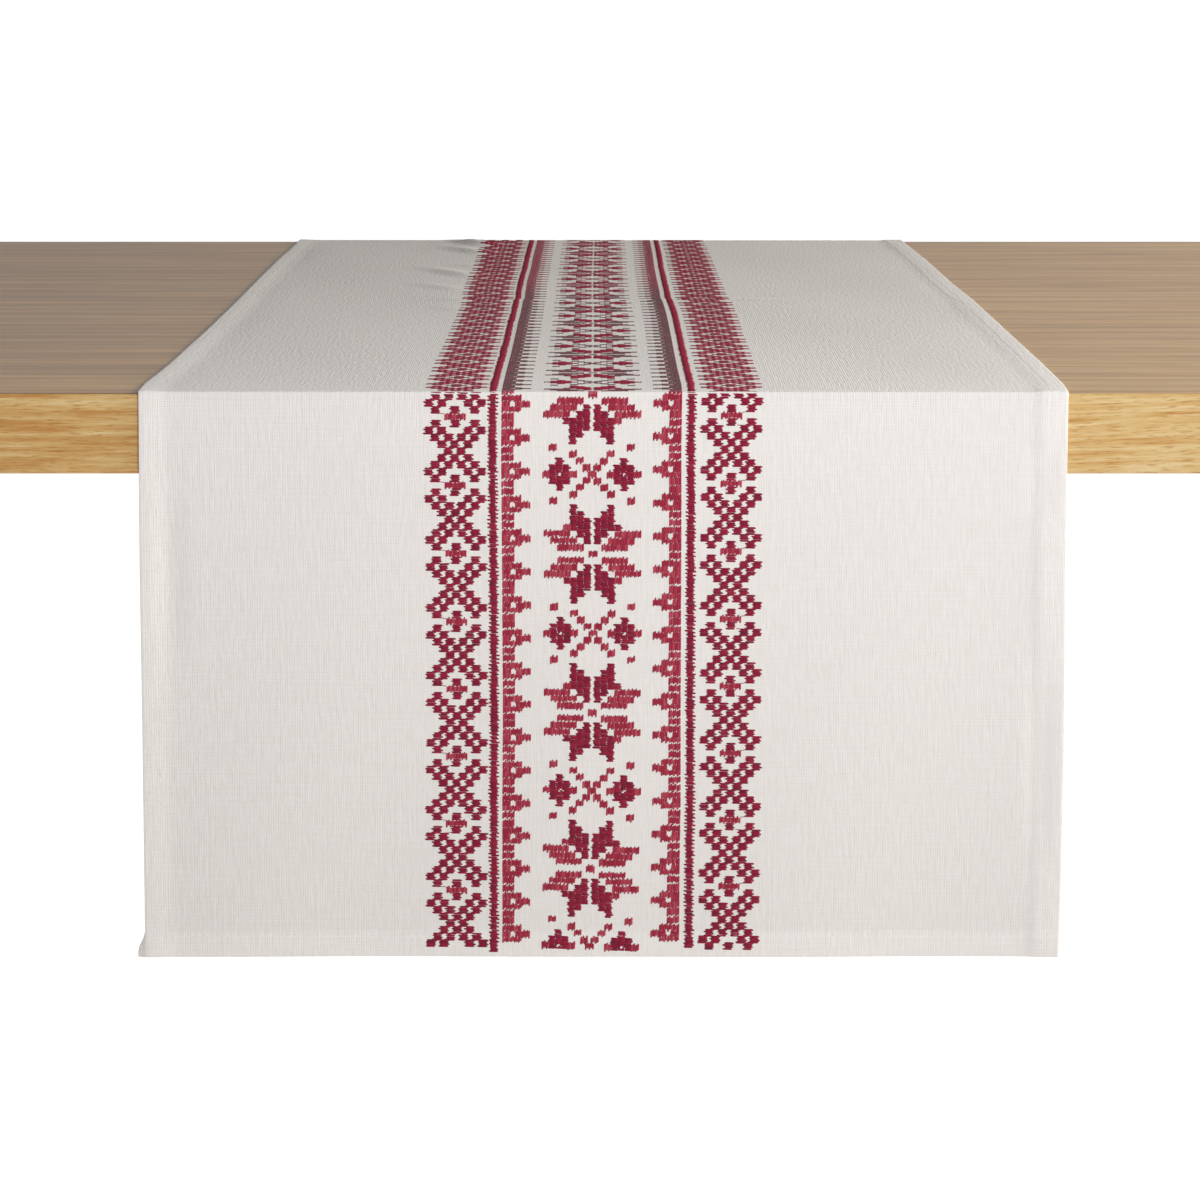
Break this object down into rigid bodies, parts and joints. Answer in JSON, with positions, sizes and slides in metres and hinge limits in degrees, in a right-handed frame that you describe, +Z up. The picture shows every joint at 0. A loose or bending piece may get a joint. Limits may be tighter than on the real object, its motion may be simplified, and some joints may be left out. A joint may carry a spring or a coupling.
{
  "type": "table runner on a table",
  "caption": "Hemmed cotton table runner with embroidered bands, lying across an oak table and hanging over both long edges.",
  "frame": {"origin": "on the floor under the middle of the table", "axes": "+Z up, +X along the table's long edges, -Y towards the edge that the shown end of the runner hangs over"},
  "size_m": [1.2, 0.8072, 0.7436],
  "materials": {
    "white_cotton": "plain weave, matt",
    "oak": "veneer under a satin lacquer",
    "red_thread": "satin stitch with a slight sheen",
    "white_thread": "sewing thread, matt"
  },
  "bodies": {
    "root": {"runner": "white_cotton", "table_top": "oak", "leg_front_left": "oak", "leg_front_right": "oak", "leg_back_left": "oak", "leg_back_right": "oak"}
  },
  "joints": []
}
